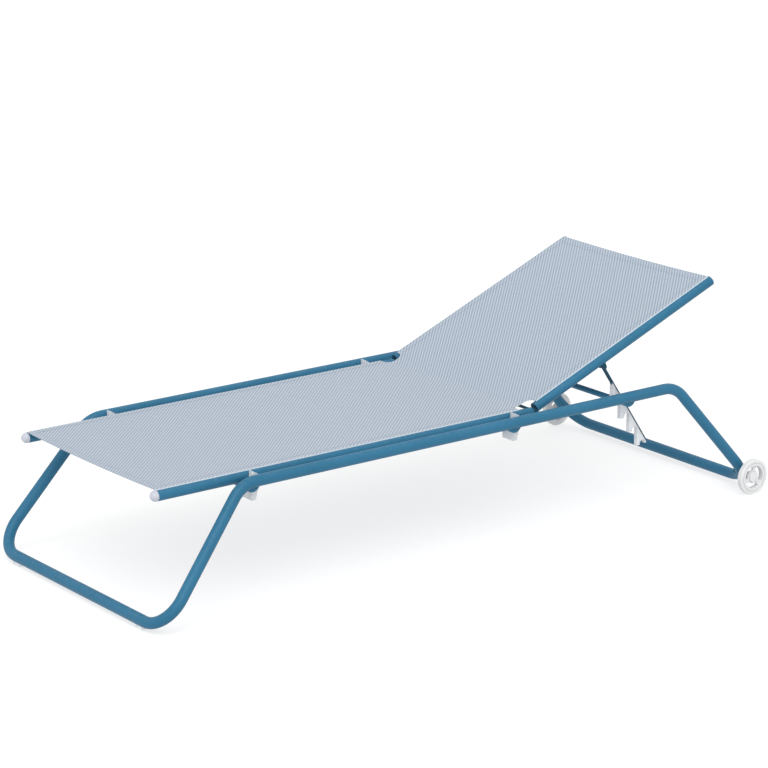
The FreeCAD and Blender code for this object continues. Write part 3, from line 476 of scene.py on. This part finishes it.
def makeSling():
    columns, rows = slingColumns(), slingRows()
    top, bottom, flats, pale = [], [], [], []
    for distance, half in columns:
        for row in rows:
            flat = row * half
            across, drop = slingAcross(flat)
            sunk = drop - sagAt(flat)
            cut = half < fullHalf - sling["cutLeast"]
            rim = cut and half - abs(flat) < sling["notchRim"]
            edge = (half if cut else halfGap) - abs(flat) < sling["paleRim"]
            pale.append(1.0 if edge else 0.0)
            hem = (rim or abs(flat) > halfGap - sling["hemSide"] + sling["sideSlack"]
                   or distance < footReach + sling["hemEnd"] - sling["endSlack"]
                   or distance > headReach - sling["hemEnd"] + sling["endSlack"])
            thick = sling["hemThick"] if hem else sling["thick"]
            tucked = drop < -sling["tuckedBelow"]
            low = slingPath(distance, sunk)
            high = slingPath(distance, sunk + (0.0 if tucked else thick))
            shift = 0.0
            if tucked:  # inside the slot the cloth stands upright, so its thickness lies across
                shift = thick * (1 if flat > 0 else -1)
            bottom.append((low.x, across - shift * 0.5, low.z))
            top.append((high.x, across + shift * 0.5, high.z))
            flats.append((distance, flat))
    obj = meshObject("slingSheet", top + bottom, shellFaces(len(columns), len(rows)),
                     materials["slingCloth"])
    layer = obj.data.uv_layers.new(name="cloth")
    flats = np.array(flats + flats)
    loops = np.zeros(len(obj.data.loops), int)
    obj.data.loops.foreach_get("vertex_index", loops)
    layer.data.foreach_set("uv", flats[loops].ravel())
    shade = obj.data.attributes.new("paleEdge", "FLOAT", "POINT")
    shade.data.foreach_set("value", pale + pale)
    smooth(obj, sling["smoothAngle"])
    return obj


slingSheet = makeSling()
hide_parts("seat_sling", "back_sling")
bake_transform(slingSheet)
print("sling done", len(slingSheet.data.polygons))


edges = {  # how far each moulded or turned piece's edges are rounded
    "foot_end_caps": 1.2 * mm, "foot_glides": 1.2 * mm, "spacer_blocks_foot": 1.2 * mm,
    "spacer_blocks_mid": 1.2 * mm, "prop_rack_near": 0.7 * mm, "prop_rack_far": 0.7 * mm,
    "wheel_near": 0.7 * mm, "wheel_far": 0.7 * mm, "hub_cap_near": 0.8 * mm,
    "hub_cap_far": 0.8 * mm, "rail_saddles": 0.8 * mm, "head_end_caps": 0.5 * mm,
    "hinge_fork_near": 0.5 * mm, "hinge_fork_far": 0.5 * mm, "hinge_tongue_near": 0.5 * mm,
    "hinge_tongue_far": 0.5 * mm, "hinge_nuts": 0.3 * mm, "block_screws": 0.2 * mm,
    "prop_lugs": 0.4 * mm, "axle_washers": 0.2 * mm,
}
rounding = {"merge": 0.002 * mm, "flatAngle": 1, "segments": 3, "edgeAngle": 32,
            "smoothAngle": 40}  # angles in degrees


# a merged copy of a CAD piece with small rounded edges, on the same body
def refined(node, width):
    mesh = nodes[node].data.copy()
    obj = bpy.data.objects.new(node + "_shown", mesh)
    bpy.context.scene.collection.objects.link(obj)
    shape = bmesh.new()
    shape.from_mesh(mesh)
    shape.transform(nodes[node].matrix_world)
    bmesh.ops.remove_doubles(shape, verts=shape.verts, dist=rounding["merge"])
    bmesh.ops.dissolve_limit(shape, angle_limit=math.radians(rounding["flatAngle"]),
                             verts=shape.verts, edges=shape.edges)
    bmesh.ops.recalc_face_normals(shape, faces=shape.faces)
    shape.to_mesh(mesh)
    shape.free()
    bevel = obj.modifiers.new("rounding", "BEVEL")
    bevel.width = width
    bevel.segments = rounding["segments"]
    bevel.limit_method = "ANGLE"
    bevel.angle_limit = math.radians(rounding["edgeAngle"])
    bevel.use_clamp_overlap = True
    settle(obj)
    smooth(obj, rounding["smoothAngle"])
    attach(obj, bodyOf[node])
    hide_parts(node)


for node, width in edges.items():
    refined(node, width)
print("refined done")


stitch = {
    "length": 3.4 * mm, "pitch": 4.6 * mm, "radius": 0.3 * mm, "sides": 6,
    "seam": 20 * mm,  # the row from the sling tube's centre or the cloth's end
    "lift": 0.05 * mm, "clear": 12 * mm,  # over the hem, and from the notch
    "sidePoints": 120, "endPoints": 40, "smoothAngle": 50,
}


# stitches: a short bar at even steps along a curve, turned to follow it
def stitchGroup():
    tree = bpy.data.node_groups.new("stitchRow", "GeometryNodeTree")
    for label, kind, way in (("Geometry", "NodeSocketGeometry", "INPUT"),
                             ("Pitch", "NodeSocketFloat", "INPUT"),
                             ("Length", "NodeSocketFloat", "INPUT"),
                             ("Radius", "NodeSocketFloat", "INPUT"),
                             ("Material", "NodeSocketMaterial", "INPUT"),
                             ("Geometry", "NodeSocketGeometry", "OUTPUT")):
        tree.interface.new_socket(name=label, in_out=way, socket_type=kind)
    start, end = tree.nodes.new("NodeGroupInput"), tree.nodes.new("NodeGroupOutput")
    link = tree.links.new
    curve = tree.nodes.new("GeometryNodeMeshToCurve")
    link(start.outputs["Geometry"], curve.inputs["Mesh"])
    points = tree.nodes.new("GeometryNodeCurveToPoints")
    points.mode = "LENGTH"
    link(curve.outputs["Curve"], points.inputs["Curve"])
    link(start.outputs["Pitch"], points.inputs["Length"])
    bar = tree.nodes.new("GeometryNodeMeshCylinder")
    bar.inputs["Vertices"].default_value = stitch["sides"]
    link(start.outputs["Radius"], bar.inputs["Radius"])
    link(start.outputs["Length"], bar.inputs["Depth"])
    turn = tree.nodes.new("FunctionNodeAlignRotationToVector")
    turn.axis = "Z"
    link(points.outputs["Tangent"], turn.inputs["Vector"])
    spread = tree.nodes.new("GeometryNodeInstanceOnPoints")
    link(points.outputs["Points"], spread.inputs["Points"])
    link(bar.outputs["Mesh"], spread.inputs["Instance"])
    link(turn.outputs["Rotation"], spread.inputs["Rotation"])
    real = tree.nodes.new("GeometryNodeRealizeInstances")
    link(spread.outputs["Instances"], real.inputs["Geometry"])
    shade = tree.nodes.new("GeometryNodeSetMaterial")
    link(real.outputs["Geometry"], shade.inputs["Geometry"])
    link(start.outputs["Material"], shade.inputs["Material"])
    link(shade.outputs["Geometry"], end.inputs["Geometry"])
    return tree


stitchTree = stitchGroup()


# a point on the upper face of the cloth's hem
def topPoint(distance, flat):
    across, drop = slingAcross(flat)
    point = slingPath(distance, drop - sagAt(flat) + sling["hemThick"] + stitch["lift"])
    return (point.x, across, point.z)


def stitches(name, paths, body):
    points, steps = [], []
    for path in paths:
        first = len(points)
        points += [topPoint(*spot) for spot in path]
        steps += [(first + i, first + i + 1) for i in range(len(path) - 1)]
    obj = meshObject(name, points, [], steps=steps)
    row = obj.modifiers.new("stitches", "NODES")
    row.node_group = stitchTree
    ids = {item.name: item.identifier for item in stitchTree.interface.items_tree
           if item.in_out == "INPUT"}
    row[ids["Pitch"]] = stitch["pitch"]
    row[ids["Length"]] = stitch["length"]
    row[ids["Radius"]] = stitch["radius"]
    row[ids["Material"]] = materials["seamThread"]
    settle(obj)
    smooth(obj, stitch["smoothAngle"])
    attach(obj, body)
    return len(obj.data.polygons)


sideLine = halfGap - stitch["seam"]


# the rows along both sides, and one across the cloth's end
def seamPaths(first, last, end):
    along = np.linspace(first, last, stitch["sidePoints"])
    across = np.linspace(-sideLine, sideLine, stitch["endPoints"])
    sides = [[(distance, side * sideLine) for distance in along] for side in (-1, 1)]
    return sides + [[(end, flat) for flat in across]]


footLine, headLine = footReach + stitch["seam"], headReach - stitch["seam"]
seatStop, backStop = -sling["notchSeat"] - stitch["clear"], sling["notchBack"] + stitch["clear"]
stitchFaces = stitches("seat_stitches", seamPaths(footLine, seatStop, footLine), "frame")
stitchFaces += stitches("back_stitches", seamPaths(backStop, headLine, headLine), "backrest")
print("stitches done", stitchFaces)


stage = {
    "floorSize": 60, "floorColor": (0.3, 0.3, 0.3), "floorGlow": 0.69, "floorRough": 0.9,
    "worldStrength": 0.95, "sunStrength": 2.0, "sunAngle": 50, "sunTurn": (38, -14, -20),
    "camera": (-4.7288, -6.2208, 2.6170), "azimuth": 37.15, "elevation": 15.94,
    "lens": 142.04, "sensor": 36, "clipEnd": 100, "shift": (-0.000651, 0.000651),
}


def makeStage(values):
    half = values["floorSize"] / 2
    material, _, shader = newMaterial("stageFloor")
    shader.inputs["Base Color"].default_value = (*values["floorColor"], 1)
    shader.inputs["Roughness"].default_value = values["floorRough"]
    shader.inputs["Specular IOR Level"].default_value = 0.0
    shader.inputs["Emission Color"].default_value = (1, 1, 1, 1)
    shader.inputs["Emission Strength"].default_value = values["floorGlow"]
    floor = meshObject("stageFloor", [(-half, -half, 0), (half, -half, 0), (half, half, 0),
                                      (-half, half, 0)], [(0, 1, 2, 3)], material)
    world = bpy.data.worlds.new("studio")
    world.use_nodes = True
    world.node_tree.nodes["Background"].inputs["Color"].default_value = (1, 1, 1, 1)
    world.node_tree.nodes["Background"].inputs["Strength"].default_value = values["worldStrength"]
    bpy.context.scene.world = world
    light = bpy.data.lights.new("softSun", "SUN")
    light.energy = values["sunStrength"]
    light.angle = math.radians(values["sunAngle"])
    lamp = bpy.data.objects.new("softSun", light)
    lamp.rotation_euler = [math.radians(turn) for turn in values["sunTurn"]]
    bpy.context.scene.collection.objects.link(lamp)


def makeCamera(values):
    data = bpy.data.cameras.new("camera")
    data.lens = values["lens"]
    data.sensor_width = values["sensor"]
    data.clip_end = values["clipEnd"]
    data.shift_x, data.shift_y = values["shift"]
    camera = bpy.data.objects.new("camera", data)
    camera.location = values["camera"]
    camera.rotation_euler = (math.radians(90 - values["elevation"]), 0,
                             math.radians(-values["azimuth"]))
    bpy.context.scene.collection.objects.link(camera)
    bpy.context.scene.camera = camera


makeStage(stage)
makeCamera(stage)
bpy.context.scene.view_settings.view_transform = "Standard"
print("stage done")
